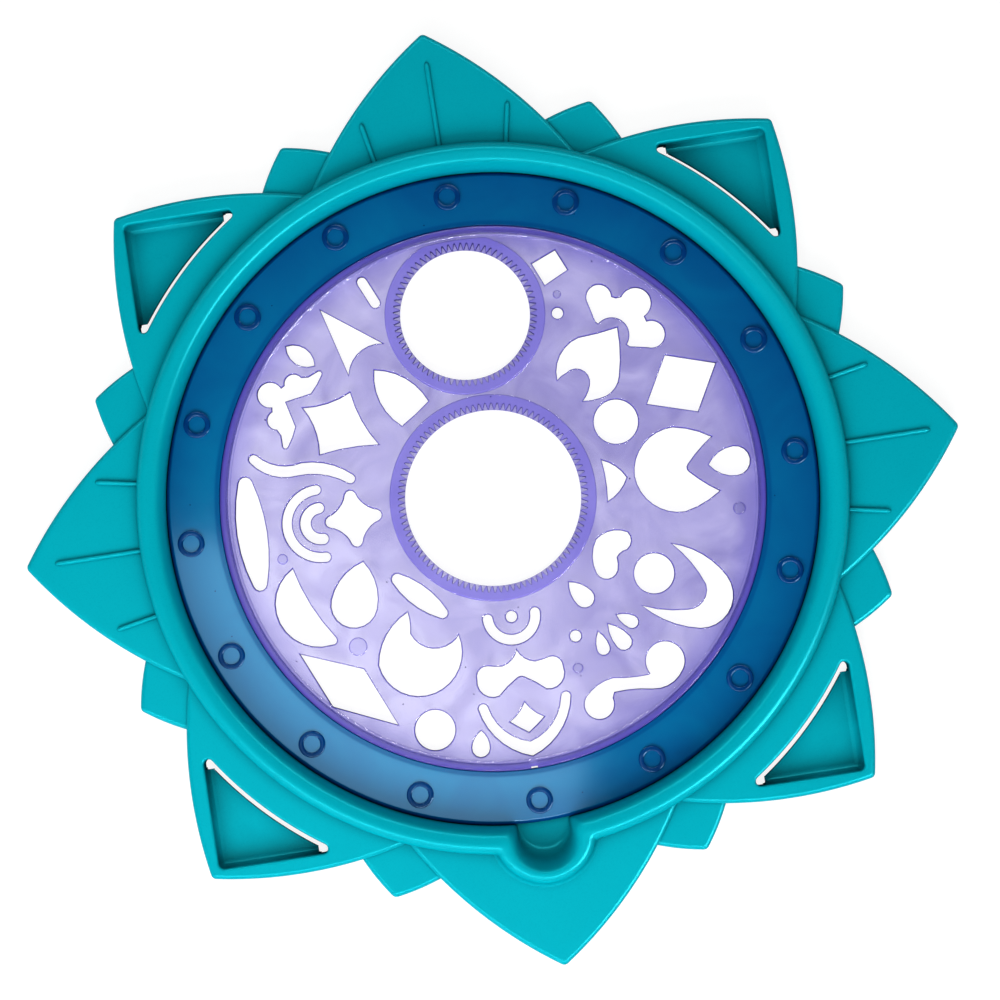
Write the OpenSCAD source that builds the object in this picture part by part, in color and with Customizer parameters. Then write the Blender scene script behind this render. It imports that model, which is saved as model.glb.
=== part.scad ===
// Mandala drawing frame: a petal-shaped base, an index ring that turns in it and a stencil plate in the ring.
// Millimetres, +Z up, standing on the table at Z = 0, thumb notch toward -Y.

/* [Petals] */
// Border of a large petal's tip outside the sheet's corner
tip_border = 3.2; // [3:0.1:4.2]
// Radius of a large petal's curved side
petal_edge = 123; // [118:1:128]
// Distance from the petal's centre line to the middle of that curve
petal_offset = 68.7; // [66:0.1:70]
// Reach of a small petal's tip from the middle
small_tip_radius = 113; // [111:0.5:115]
// Radius of a small petal's curved side
small_edge = 65; // [58:1:72]
// Distance from the small petal's centre line to the middle of that curve
small_offset = 32.9; // [28:0.1:37]
// Height of the large petals' top face above the table
petal_top = 8.4; // [8:0.1:9]
// Drop from a large petal to a small one
petal_step = 1.4; // [0.8:0.1:2]
// Rounding of the petals' top edges
petal_round = 1.6; // [1:0.1:2]
// Wall thickness of the moulding
wall = 1.8; // [1.5:0.1:2.2]
// Thickness of the stiffening ribs underneath
rib = 1.2; // [1:0.1:1.6]

/* [Raised ribs on the leaf petals] */
// Width of a raised rib
vein_width = 1.4; // [1:0.1:2]
// Height of a raised rib above the petal
vein_height = 0.7; // [0.4:0.1:1]
// Distance of the long middle rib's end from the petal's tip
vein_long_inset = 8.1; // [7:0.1:12]
// Distance of the short side ribs' ends from the tip's circle
vein_short_inset = 20.3; // [19:0.1:23]
// Angle between the middle rib and a side rib
vein_angle = 10.8; // [9:0.1:12]

/* [Rim and ledge] */
// Radius of the well that the ring turns in
rim_inner = 89.9; // [89:0.1:91]
// Width of the rim bead
rim_width = 7.9; // [7.4:0.1:8.6]
// Height of the rim bead above the table
rim_top = 13; // [12.5:0.1:13.5]
// Rounding of the rim bead's outer shoulder
rim_round = 2; // [1.5:0.1:2.4]
// Width of the rim bead's inner slope
rim_slope = 3.6; // [3:0.1:3.8]
// Height of the rim bead's inner slope
rim_slope_height = 6.5; // [5.5:0.1:7]
// Thickness of the ledge under the ring
ledge_thickness = 1; // [0.8:0.1:1.2]
// Half width of the thumb notch's floor
notch_radius = 7.2; // [6.8:0.1:7.6]
// Width of the notch's sloping wall
notch_slope = 2.4; // [2:0.1:2.8]
// Width of the crest that loops round the notch
notch_crest = 4.4; // [4:0.1:4.8]
// Distance of the notch's middle beyond the well's wall
notch_reach = 2.5; // [2:0.1:3.5]

/* [Sheet pockets] */
// Side of the square sheet, a 7 inch one
sheet_side = 177.8; // [177:0.1:179]
// Play of the sheet in a pocket's corner
sheet_play = 0.5; // [0.3:0.05:0.6]
// Distance of a pocket's inner side from the rim
pocket_gap = 7.8; // [7.2:0.1:9]
// Thickness of a pocket's floor
pocket_floor = 1.4; // [1:0.1:1.8]
// Rounding of a pocket's corner
pocket_round = 1.6; // [1:0.1:2.5]
// Width of the slit that the sheet comes up through
slit_width = 1.6; // [1.4:0.1:2]
// Radius of the slit's round ends
slit_end = 1.3; // [1.1:0.1:1.5]

/* [Index ring] */
// Play between the ring and the well's wall
ring_play = 0.6; // [0.4:0.05:0.7]
// Gap between the ring and the ledge
ring_seat = 0.1; // [0.1:0.05:0.2]
// Width of the ring's upper face
ring_width = 13.8; // [13.5:0.1:14.2]
// Thickness of the ring
ring_thickness = 1.9; // [1.7:0.1:2.3]
// Bevel on the ring's outer edge
ring_bevel = 1.6; // [1.2:0.1:2]
// Height of that bevel
ring_bevel_height = 0.7; // [0.5:0.1:0.9]
// Number of bosses, one for each petal tip
boss_count = 16; // [8:8:16]
// Distance of the bosses from the ring's outer edge
boss_inset = 5.1; // [4.8:0.1:5.6]
// Outside diameter of a boss
boss_diameter = 7.4; // [7:0.1:8]
// Diameter of the hollow in a boss
boss_hollow = 4.6; // [4:0.1:5]
// Height of a boss above the ring
boss_height = 0.8; // [0.5:0.1:1.2]
// Width of the flange that carries the stencil plate
flange_width = 2.1; // [1.8:0.1:2.3]
// Thickness of that flange
flange_thickness = 1; // [0.8:0.1:1.2]
// Width of the registration notch in the flange and in the plate
key_width = 1.8; // [1.4:0.1:2.4]

/* [Stencil plate] */
// Play between the plate and the ring
plate_play = 0.4; // [0.3:0.05:0.6]
// Gap between the plate's lip and the flange
plate_seat = 0.1; // [0.1:0.05:0.2]
// Thickness of the plate
plate_thickness = 1.8; // [1.7:0.1:2.2]
// Width of the lip seen from above
lip_width = 2.5; // [2.3:0.1:2.8]
// Height of the lip above the plate
lip_height = 1.8; // [1.2:0.1:2.4]
// Height of the collars round the geared holes
collar_height = 1.3; // [0.8:0.1:1.8]
// Circular pitch of the geared holes, 48 diametral pitch
tooth_pitch = 1.662; // [1.63:0.001:1.68]
// Teeth of the large geared hole
large_teeth = 96; // [94:1:97]
// Teeth of the small geared hole
small_teeth = 72; // [70:1:73]
// Depth of a tooth inside the pitch circle
tooth_inside = 0.9; // [0.7:0.05:1]
// Depth of a tooth outside the pitch circle
tooth_outside = 0.8; // [0.6:0.05:0.9]
// Thickness of the shelf that the teeth stand on
tooth_shelf = 0.5; // [0.4:0.1:0.8]
// Width of the shelf inside the teeth
shelf_edge = 0.15; // [0.1:0.05:0.3]
// Wall of a collar outside the teeth
collar_wall = 2.3; // [2:0.1:2.6]
// Distance of the small geared hole from the middle
small_hole_y = 51.3; // [51:0.1:51.6]

/* [Feet] */
// Height of a foot
foot_height = 1; // [0.8:0.1:1.2]
// Diameter of a foot
foot_diameter = 11; // [9:0.5:12]
// Distance of a foot's middle from the petal's tip
foot_inset = 14; // [13.6:0.1:14.6]

/* [Hidden] */
$fn = 96;
step = 0.01;
// How far a chord of a cut-out's curved side may lie from the true curve
arc_fineness = 0.07;
petals = 8;
turn = 360 / petals;

ledge_top = foot_height + ledge_thickness;
rim_outer = rim_inner + rim_width;
small_top = petal_top - petal_step;
notch_y = -rim_inner - notch_reach;
notch_outer = notch_radius + notch_slope + notch_crest;
petal_root = rim_outer - 0.3;

pocket_corner = sheet_side / 2 + sheet_play;
pocket_inner = rim_outer + pocket_gap;
pocket_bottom = foot_height + pocket_floor;

tip_radius = pocket_corner * sqrt(2) + tip_border;
vein_long_end = tip_radius - vein_long_inset;
vein_short_end = tip_radius - vein_short_inset;
foot_radius = tip_radius - foot_inset;

ring_outer = rim_inner - ring_play;
ring_inner = ring_outer - ring_width;
ring_bottom = ledge_top + ring_seat;
ring_top = ring_bottom + ring_thickness;
boss_radius = ring_outer - boss_inset;
flange_inner = ring_inner - flange_width;
flange_bottom = foot_height + 0.3;
flange_top = flange_bottom + flange_thickness;
spigot_radius = ring_inner + 1.1;
ledge_inner = spigot_radius + 0.3;

lip_radius = ring_inner - plate_play;
lip_inner = lip_radius - lip_width;
plate_radius = flange_inner - plate_play;
plate_bottom = foot_height;
plate_top = plate_bottom + plate_thickness;
lip_bottom = flange_top + plate_seat;
lip_top = plate_top + lip_height;
// The geared holes and cut-outs were laid out on a plate of 73 mm radius and grow with it
plate_scale = plate_radius / 73;

teal = [0, 0.59, 0.65];
blue = [0, 0.35, 0.56];
purple = [0.54, 0.5, 0.82];
rubber = [0.12, 0.12, 0.13];

// Points of an arc from p to just before q that bulges by sag to the left of the way it goes
function bow(p, q, sag) =
    let (
        chord = norm(q - p),
        half = 2 * atan(2 * abs(sag) / chord),
        r = abs(sag) < step ? 0 : chord / 2 / sin(half),
        count = max(1, ceil(sqrt(abs(sag) / arc_fineness))),
        along = (q - p) / chord,
        left = [-along.y, along.x] * sign(sag)
    )
    [for (i = [0 : count - 1])
        let (a = half * (2 * i / count - 1))
        (p + q) / 2 + along * (r == 0 ? -chord / 2 : r * sin(a)) + left * r * (cos(a) - cos(half))];

// Outline of a shape from its corners, clockwise: each is x, y and how far the side after it bulges out
function outline(corners) =
    [for (i = [0 : len(corners) - 1])
        let (a = corners[i], b = corners[(i + 1) % len(corners)])
        each bow([a.x, a.y], [b.x, b.y], a.z)];

module cut(corners) polygon(outline(corners));

module dot(x, y, r) translate([x, y]) circle(r);

// A drop with its point at tip and a round end of radius r about the point c
module drop(tip, c, r) {
    reach = norm(c - tip);
    side = [-(c - tip).y, (c - tip).x] / reach * r;
    edge = (reach * reach + r * r) / (2 * r);
    sag = edge - sqrt(edge * edge - (reach * reach + r * r) / 4);
    b = c + side;
    d = c - side;
    cut([[tip.x, tip.y, sag], [b.x, b.y, r], [d.x, d.y, sag]]);
}

// A pointed leaf between the points a and b
module leaf(a, b, width) cut([[a.x, a.y, width / 2], [b.x, b.y, width / 2]]);

// A round-ended slot between the points a and b
module slot(a, b, width) {
    side = [-(b - a).y, (b - a).x] / norm(b - a) * width / 2;
    p = a + side;
    q = b + side;
    s = b - side;
    t = a - side;
    cut([[p.x, p.y, 0], [q.x, q.y, width / 2], [s.x, s.y, 0], [t.x, t.y, width / 2]]);
}

// Half of a round band about the point c, open toward +X, with round ends
module arch(c, r, width) translate(c) {
    intersection() {
        difference() {
            circle(r + width / 2);
            circle(r - width / 2);
        }
        translate([-2 * r, -2 * r]) square([2 * r, 4 * r]);
    }
    for (y = [-r, r]) translate([0, y]) circle(width / 2);
}

// Hole with inward teeth
module geared_hole(teeth) {
    pitch_radius = teeth * tooth_pitch / 360 * 180 / PI;
    tip = pitch_radius - tooth_inside;
    root = pitch_radius + tooth_outside;
    pace = 360 / teeth;
    polygon([for (i = [0 : teeth - 1])
        each [for (k = [[0.1, root], [0.42, tip], [0.58, tip], [0.9, root]])
            k[1] * [cos((i + k[0]) * pace), sin((i + k[0]) * pace)]]]);
}

// Round hole through the shelf under the teeth
module shelf_hole(teeth) circle(teeth * tooth_pitch / 2 / PI - tooth_inside - shelf_edge);

// The drawing cut-outs, in the places that they have on the plate
module cut_outs() {
    // Upper left
    slot([-26.9, 64.7], [-24.1, 58.3], 2.8);
    cut([[-39.5, 58.8, 0], [-23.6, 46.9, -2.7], [-34.4, 39.7, 0]]);
    leaf([-50.4, 50.2], [-43.3, 43.7], 5);
    wing();
    cut([[-48.3, 32.6, -1], [-34.7, 34.9, -1], [-29, 19.4, -0.6], [-45.6, 19.1, -1.2]]);
    cut([[-27.2, 40, 2.3], [-13.6, 29.2, 0.2], [-21.9, 23.5, 2.5]]);
    cut([[-65, 19.8, 1.2], [-63, 21.5, -1.8], [-51, 17.6, 1.4], [-37.3, 12.2, 1.2], [-38.9, 10.1, -1.3],
         [-52.5, 14.3, 1.9]]);
    // Left
    cut([[-69.1, 14.6, 1.5], [-65.3, 14.6, 2.1], [-65.3, -14.2, 1.5], [-69.1, -14.2, 2.4]]);
    arch([-48.1, 0.2], 9.4, 2.7);
    arch([-48.1, 0.2], 4.3, 3);
    translate([-39, 0.2]) star();
    // Lower left
    cut([[-57.7, -11, -1.1], [-48.8, -31.4, 0.9], [-50.1, -33.4, 10]]);
    drop([-38.2, -12], [-42.4, -23.4], 6.4);
    cut([[-31.1, -18.8, 0.9], [-29.1, -16.7, 1.5], [-17.2, -28.9, 0.9], [-19.3, -30.7, 1.5]]);
    cut([[-28.1, -27.6, 0.3], [-28.3, -33.6, -2.8], [-17.3, -37.8, -0.2], [-15.2, -35.9, 4.5],
         [-26.3, -51.2, 3.1], [-38.2, -41, 2.2]]);
    cut([[-59.2, -34.6, 0], [-42.4, -41.3, 0], [-35.3, -58, 0], [-52.4, -50.3, 0]]);
    dot(-25.5, -60.9, 5.6);
    drop([-13, -63], [-13.8, -67.8], 2.5);
    // Bottom
    dot(0, -33.2, 1.6);
    rotate(90) arch([-33, 0], 6.6, 2.8);
    cut([[0, -42.5, -0.8], [4.6, -46.4, -0.1], [8.6, -45.7, 1.2], [12, -49, 2.2], [6.6, -54.3, -0.2],
         [1.2, -50.2, -0.4], [-1.2, -50.2, -0.2], [-6.6, -54.3, 2.2], [-12, -49, 1.2], [-8.6, -45.7, -0.1],
         [-4.6, -46.4, -0.8]]);
    cut([[0, -57, -0.5], [4.8, -61.8, 0.1], [0, -65.4, 0.1], [-4.8, -61.8, -0.5]]);
    cut([[-12.9, -57, 1.2], [-10.2, -57, -2.2], [0, -68, -2.2], [10.2, -57, 1.2], [12.9, -57, 2.8],
         [0, -72, 2.8]]);
    // Lower right
    dot(40.1, -51.7, 5.4);
    dot(20.3, -60.8, 4.1);
    cut([[17, -58.4, 0.9], [25.2, -54.2, -0.3], [35, -54.8, 0], [43, -50, 0], [44.6, -54.6, 1.6],
         [35.6, -58.8, -0.4], [24.9, -58.1, 0], [23.8, -60.6, 0]]);
    dot(16.7, -41.2, 1.6);
    drop([28.7, -37.1], [32.7, -39.7], 1.8);
    drop([26, -39.2], [29.6, -44.8], 2.3);
    drop([23, -40.9], [23.8, -45.8], 1.8);
    drop([17.1, -26.2], [20.8, -31.2], 2.7);
    cut([[31.3, -21.4, 0.2], [31, -25, 2], [25.1, -25, 1.1], [26.4, -15.7, 1.4], [35.3, -15, 1.1],
         [34.4, -19.7, -0.4]]);
    dot(40.8, -27.4, 5.6);
    cut([[46.8, -20, 1.8], [60.6, -31.2, 4.9], [51.2, -44.3, 1.4], [36.1, -35.7, -0.6],
         [48.5, -38.7, -2.1], [54.5, -32.6, -0.8]]);
    // Right
    drop([60.3, 0], [67.8, 0], 4.1);
    cut([[62.3, -7.6, 0.6], [52, -11.8, 3.5], [39.6, 0, 3.5], [52, 11.8, 0.6], [62.3, 7.6, -0.3],
         [54.7, 1.1, -0.5], [54.7, -1.1, -0.3]]);
    cut([[31.2, -5.8, -0.4], [31.2, 5.8, 0.8], [37.4, 0, 0.8]]);
    // Upper right
    dot(36.8, 15.7, 6.2);
    cut([[53, 31.9, 0], [66.6, 27.6, 0], [59.7, 15, 0], [46, 19.2, 0]]);
    cut([[41.2, 41.5, 0.5], [39.6, 28, 1.3], [33.5, 22.8, 0.2], [28.6, 22.7, -0.3], [31.2, 26.8, -2.8],
         [25.2, 31.1, -0.2], [22.5, 29.5, 2.4], [30, 40.3, -0.2]]);
    cloud();
    dot(25.4, 47.9, 1.6);
    cut([[27.4, 65.4, 0], [30, 59.4, 0], [23.1, 56.1, 0], [20.4, 62.6, 0]]);
}

// Scalloped wing, mirrored about its own radial line
module wing() rotate(146.5) {
    dot(68, 0, 3.5);
    for (side = [0, 1]) mirror([0, side]) {
        dot(63.4, 5.6, 2.6);
        cut([[68, 0, 0], [63.4, 0, 0], [57.9, 5.1, 0.2], [57.4, 11, 0.5], [58.7, 11.6, 0], [60.5, 8.9, 0],
             [64, 7, 0], [66, 3, 0]]);
    }
}

// Four-pointed star with round tips
module star() for (a = [0 : 90 : 270]) rotate(a)
    cut([[-3.5, 3.5, -0.3], [-1.5, 6.9, 1], [1.5, 6.9, -0.3], [3.5, 3.5, 0], [0, -1, 0]]);

// Three round lobes round a bay
module cloud() difference() {
    union() {
        dot(37.4, 50.6, 3.5);
        dot(47.2, 47.4, 4.3);
        dot(50.2, 38.2, 3.8);
        polygon([[35.4, 44], [33.95, 50], [37.4, 52], [42, 49.6], [47.2, 50], [49.4, 42], [50.2, 34.4],
                 [43.8, 35.7], [39.6, 39.6]]);
    }
    dot(39.3, 39.6, 4.9);
}

// Radius and height along a rounded outer corner, from its side to its top
function rounded(r, top, radius, count) =
    [for (i = [0 : count]) let (a = 90 * i / count) [r + radius * (cos(a) - 1), top + radius * (sin(a) - 1)]];

// Round disc from the height low to top with a rounded upper edge
module disc(r, low, top, radius) rotate_extrude()
    polygon(concat([[0, low], [r, low]], rounded(r, top, radius, 3), [[0, top]]));

// Well with a flared mouth, from the height low to above top, its flare an upright quarter of an ellipse
module well(r, low, top, width, height) rotate_extrude()
    polygon(concat([[0, low], [r, low]],
                   [for (i = [0 : 6]) let (a = 15 * i) [r + width * (1 - cos(a)), top + height * (sin(a) - 1)]],
                   [[r + width, top + 1], [0, top + 1]]));

// Middle of the curve of a petal's side, along the petal
function petal_middle(tip, edge, offset) = tip - sqrt(edge * edge - offset * offset);

// Pointed petal along +X, where two discs overlap, outside the rim
module petal(tip, edge, offset, top) difference() {
    intersection_for (side = [-1, 1])
        translate([petal_middle(tip, edge, offset), side * offset, 0]) disc(edge, foot_height, top, petal_round);
    cylinder(r = petal_root, h = rim_top);
}

// Room under a petal's skin
module petal_room(tip, edge, offset, top) difference() {
    intersection_for (side = [-1, 1])
        translate([petal_middle(tip, edge, offset), side * offset, 0]) cylinder(r = edge - wall, h = top - wall);
    cylinder(r = rim_outer + 0.3, h = rim_top);
}

module each_petal() for (i = [0 : petals - 1]) rotate(i * turn) children();

module each_small_petal() for (i = [0 : petals - 1]) rotate((i + 0.5) * turn) children();

// Rim bead with the ledge inside it
module rim() rotate_extrude() polygon(concat(
    [[ledge_inner - 2, foot_height], [rim_outer, foot_height]],
    rounded(rim_outer, rim_top, rim_round, 5),
    [[ledge_inner - 2, rim_top]]));

// Bead that loops round the thumb notch
module notch_loop() translate([0, notch_y, 0]) disc(notch_outer, foot_height, rim_top, rim_round);

// Thumb notch: a round end and the way in through the rim
module notch() {
    translate([0, notch_y, 0]) well(notch_radius, ledge_top, rim_top, notch_slope, rim_top - ledge_top - 1);
    translate([-notch_radius, notch_y, ledge_top]) cube([2 * notch_radius, notch_reach + rim_width, rim_top]);
}

// Plan of a corner pocket, in the corner toward +X and +Y
module pocket_plan(grow) difference() {
    low = pocket_corner / 2;
    side = pocket_corner - pocket_round;
    union() {
        translate([low, low]) square([side - low, low + grow]);
        translate([low, low]) square([low + grow, side - low]);
        translate([side, side]) circle(pocket_round + grow);
    }
    circle(pocket_inner - grow);
}

module each_pocket() for (i = [0 : 3]) rotate(90 * i) children();

// Slit along a pocket's inner side with its round ends
module slit() {
    end_x = pocket_corner - 1.2 * slit_end;
    end_r = pocket_inner + slit_width;
    end_y = sqrt(end_r * end_r - end_x * end_x);
    intersection() {
        linear_extrude(pocket_bottom + step) pocket_plan(0);
        cylinder(r = end_r, h = rim_top);
    }
    for (p = [[end_x, end_y], [end_y, end_x]]) translate(p) cylinder(r = slit_end, h = pocket_bottom + step);
}

// What stays solid under the petals' skin: ribs, foot bosses, pocket walls and the notch's wall
module under_petals() {
    for (i = [0 : 4 * petals - 1]) rotate(i * turn / 4)
        translate([rim_outer - wall, -rib / 2, 0]) cube([tip_radius - rim_outer + wall, rib, petal_top]);
    for (i = [0 : 3]) rotate(90 * i) translate([foot_radius, 0, 0]) cylinder(d = foot_diameter + 1, h = petal_top);
    each_pocket() linear_extrude(petal_top) pocket_plan(wall);
    translate([0, notch_y, 0]) cylinder(r = notch_outer, h = rim_top);
}

// Hollows under the large petals
module large_rooms() difference() {
    each_petal() petal_room(tip_radius, petal_edge, petal_offset, petal_top);
    under_petals();
}

// Channel under the rim bead, closed beside the notch
module rim_channel() difference() {
    cylinder(r = rim_outer - wall, h = rim_top - 2 * wall);
    cylinder(r = rim_inner + wall, h = rim_top);
    translate([0, notch_y, 0]) cylinder(r = notch_outer, h = rim_top);
}

// Raised ribs of a leaf petal along +X
module veins() for (v = [[-vein_angle, vein_short_end], [0, vein_long_end], [vein_angle, vein_short_end]])
    rotate(v[0]) translate([petal_root, 0, petal_top - wall / 2]) {
        length = v[1] - vein_width / 2 - petal_root;
        translate([0, -vein_width / 2, 0]) cube([length, vein_width, wall / 2 + vein_height]);
        translate([length, 0, 0]) cylinder(d = vein_width, h = wall / 2 + vein_height);
    }

// The moulding's outside, before anything is cut from it
module base_outside() {
    each_petal() petal(tip_radius, petal_edge, petal_offset, petal_top);
    each_small_petal() petal(small_tip_radius, small_edge, small_offset, small_top);
    rim();
    notch_loop();
    for (a = [0, 90, 180]) rotate(a) veins();
}

// The outside with the well for the ring, the opening over the sheet and the thumb notch
module base_open() difference() {
    base_outside();
    well(rim_inner, ledge_top, rim_top, rim_slope, rim_slope_height);
    cylinder(r = ledge_inner, h = rim_top);
    notch();
}

// The same, hollow underneath
module base_shell() difference() {
    base_open();
    large_rooms();
    rim_channel();
}

// One moulding: petals, rim, ledge, pockets and thumb notch, open underneath
module base_frame() color(teal) difference() {
    base_shell();
    each_pocket() {
        translate([0, 0, pocket_bottom]) linear_extrude(rim_top) pocket_plan(0);
        slit();
    }
}

// Ring that turns on the ledge, with a boss for each petal tip and a flange for the stencil plate
module index_ring() color(blue) difference() {
    union() {
        rotate_extrude() polygon([[ring_inner, flange_bottom], [spigot_radius, flange_bottom],
                                  [spigot_radius, ring_bottom], [ring_outer, ring_bottom],
                                  [ring_outer, ring_top - ring_bevel_height], [ring_outer - ring_bevel, ring_top],
                                  [ring_inner, ring_top], [ring_inner, flange_top], [flange_inner, flange_top],
                                  [flange_inner, flange_bottom]]);
        for (i = [0 : boss_count - 1]) rotate(360 / boss_count * i)
            translate([boss_radius, 0, ring_top - step]) cylinder(d = boss_diameter, h = boss_height + step);
    }
    for (i = [0 : boss_count - 1]) rotate(360 / boss_count * i)
        translate([boss_radius, 0, ring_top]) cylinder(d = boss_hollow, h = boss_height + 1);
    translate([-key_width / 2, -ring_inner, 0]) cube([key_width, flange_width + 1, flange_top + step]);
}

// Plate with two geared holes and the drawing cut-outs, hung in the ring by its lip
module stencil_plate() color(purple) difference() {
    union() {
        translate([0, 0, plate_bottom]) cylinder(r = plate_radius, h = plate_thickness);
        translate([0, 0, lip_bottom]) difference() {
            cylinder(r = lip_radius, h = lip_top - lip_bottom);
            translate([0, 0, -1]) cylinder(r = lip_inner, h = rim_top);
        }
        collar(0, large_teeth);
        collar(small_hole_y, small_teeth);
    }
    linear_extrude(rim_top) scale(plate_scale) {
        cut_outs();
        shelf_hole(large_teeth);
        translate([0, small_hole_y]) shelf_hole(small_teeth);
    }
    translate([0, 0, plate_bottom + tooth_shelf]) linear_extrude(rim_top) scale(plate_scale) {
        geared_hole(large_teeth);
        translate([0, small_hole_y]) geared_hole(small_teeth);
    }
    translate([-key_width / 2, -lip_radius - 1, 0]) cube([key_width, 2, rim_top]);
}

// Raised collar round a geared hole
module collar(y, teeth) translate([0, y * plate_scale, plate_top - step])
    cylinder(r = (teeth * tooth_pitch / 2 / PI + tooth_outside + collar_wall) * plate_scale, h = collar_height + step);

// Non-slip foot under a large petal, counted from +X
module foot(i) color(rubber) rotate((i - 1) * turn) translate([foot_radius, 0, 0])
    cylinder(d = foot_diameter, h = foot_height);

base_frame();
index_ring();
stencil_plate();
for (i = [1 : petals]) foot(i);
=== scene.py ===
# Mandala drawing frame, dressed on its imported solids: the petal-shaped base, the index ring that turns in it
# and the stencil plate in the ring. Sizes in mm, +Z up, the thumb scoop toward -Y.
import math

import bmesh
import bpy
import numpy as np
from mathutils import Matrix, Vector
from mathutils.geometry import tessellate_polygon


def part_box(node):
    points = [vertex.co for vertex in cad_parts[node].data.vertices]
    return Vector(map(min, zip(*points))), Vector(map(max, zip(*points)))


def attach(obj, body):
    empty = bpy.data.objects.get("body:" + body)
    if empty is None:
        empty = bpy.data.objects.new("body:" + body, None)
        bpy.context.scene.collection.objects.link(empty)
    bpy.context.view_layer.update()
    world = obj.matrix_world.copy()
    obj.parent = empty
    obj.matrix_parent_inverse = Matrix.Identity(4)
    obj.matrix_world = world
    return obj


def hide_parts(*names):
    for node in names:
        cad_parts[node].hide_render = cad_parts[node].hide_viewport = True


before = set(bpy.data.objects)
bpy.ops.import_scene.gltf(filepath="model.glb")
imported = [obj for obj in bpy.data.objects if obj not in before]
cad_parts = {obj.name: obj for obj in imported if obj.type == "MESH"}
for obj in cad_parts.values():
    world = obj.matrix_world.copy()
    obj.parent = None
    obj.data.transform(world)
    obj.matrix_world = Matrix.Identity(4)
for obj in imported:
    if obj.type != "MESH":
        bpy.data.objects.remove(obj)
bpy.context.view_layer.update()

# Rim of the base: part of one injection moulding in opaque teal ABS with a satin gloss.
# Its bead stands round the well of the index ring and loops round the thumb scoop. The thin ledge inside it
# carries the ring, and a channel underneath keeps the wall even.
mm = 0.001
ledge_inner, rim_inner, rim_width = 76.9, 89.9, 7.9
scoop_radius, scoop_width, scoop_reach = 7.2, 6.8, 92.4
low, crest = (corner[2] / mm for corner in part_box("base_frame"))
ledge_top = low + 1
wall = 1.8
crease_angle = 24


def linear(code):
    """Linear colour of an sRGB hex value."""
    parts = [int(code[i:i + 2], 16) / 255 for i in (1, 3, 5)]
    return [c / 12.92 if c <= 0.04045 else ((c + 0.055) / 1.055) ** 2.4 for c in parts] + [1]


def add(tree, kind, inputs={}, **settings):
    """A new node with its settings, its inputs given as values or as sockets to link."""
    node = tree.nodes.new(kind)
    for key, value in settings.items():
        setattr(node, key, value)
    for key, value in inputs.items():
        if isinstance(value, bpy.types.NodeSocket):
            tree.links.new(value, node.inputs[key])
        else:
            node.inputs[key].default_value = value
    return node


class Moulding:
    """Points in mm and faces of one moulded piece, each point with how thick the plastic looks there."""

    def __init__(self):
        self.points, self.faces, self.thick = [], [], []

    def wrap(self, rows, thick=0):
        """Skin over rows of points, each row closed on itself."""
        first, count = len(self.points), len(rows[0])
        for k, row in enumerate(rows):
            self.points.extend(tuple(p) for p in row)
            self.thick.extend([thick[k] if isinstance(thick, list) else thick] * count)
        for k in range(len(rows) - 1):
            for i in range(count):
                a, b = first + k * count + i, first + k * count + (i + 1) % count
                self.faces.append((a, b, b + count, a + count))

    def flat(self, *loops, thick=0):
        """Flat face inside the first loop, the other loops being holes in it."""
        first = len(self.points)
        for loop in loops:
            self.points.extend(tuple(p) for p in loop)
            self.thick.extend([thick] * len(loop))
        triangles = tessellate_polygon([[Vector(p) for p in loop] for loop in loops])
        self.faces.extend(tuple(first + i for i in t) for t in triangles)

    def piece(self, name, finish, sharp=32):
        """The object, its doubles merged, its faces outwards and its edges sharp past an angle."""
        mesh = bpy.data.meshes.new(name)
        mesh.from_pydata([[c * mm for c in p] for p in self.points], [], self.faces)
        mesh.attributes.new("thick", "FLOAT", "POINT").data.foreach_set("value", self.thick)
        shape = bmesh.new()
        shape.from_mesh(mesh)
        bmesh.ops.remove_doubles(shape, verts=shape.verts, dist=0.002 * mm)
        bmesh.ops.recalc_face_normals(shape, faces=shape.faces)
        shape.to_mesh(mesh)
        shape.free()
        mesh.shade_smooth()
        mesh.set_sharp_from_angle(angle=math.radians(sharp))
        mesh.materials.append(finish)
        obj = bpy.data.objects.new(name, mesh)
        bpy.context.scene.collection.objects.link(obj)
        return obj


def arc(cx, cy, radius, first, last, count):
    """Points of an arc in the plane, its angles in radians."""
    return [(cx + radius * math.cos(a), cy + radius * math.sin(a)) for a in np.linspace(first, last, count)]


def at(points, z):
    """Points of the plane at the height z."""
    return [(x, y, z) for x, y in points]


def rim_row(out, z, scoop_out, scoop_z, corner, reach=scoop_reach):
    """Closed row round the well and the scoop, out from their walls, with rounded corners between the two."""
    rim, scoop = rim_inner + out, scoop_radius + scoop_out
    y = (reach ** 2 + (rim + corner) ** 2 - (scoop + corner) ** 2) / (2 * reach)
    x = math.sqrt((rim + corner) ** 2 - y ** 2)
    a, b = math.atan2(x, y), math.atan2(x, y - reach)
    start, end = math.atan2(y - reach, -x) % (2 * math.pi), math.atan2(y, -x)
    turn = [start + (end - start) * t for t in np.linspace(0, 1, 9)[1:-1]]
    ease = [t * t * (3 - 2 * t) for t in np.linspace(0, 1, 9)[1:-1]]
    right = [(x + corner * math.cos(t), -y + corner * math.sin(t), scoop_z + (z - scoop_z) * e)
             for t, e in zip(turn, ease)]
    left = [(-px, py, pz) for px, py, pz in reversed(right)]
    round_rim = [(rim * math.sin(t), -rim * math.cos(t), z) for t in np.linspace(a, 2 * math.pi - a, 300)]
    round_scoop = [(scoop * math.sin(t), -reach - scoop * math.cos(t), scoop_z) for t in np.linspace(-b, b, 45)]
    return round_rim + left + round_scoop + right


def on_circle(row, radius, z):
    """The points of a row moved in or out to a circle."""
    return [(x * radius / math.hypot(x, y), y * radius / math.hypot(x, y), z) for x, y, _ in row]


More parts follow.
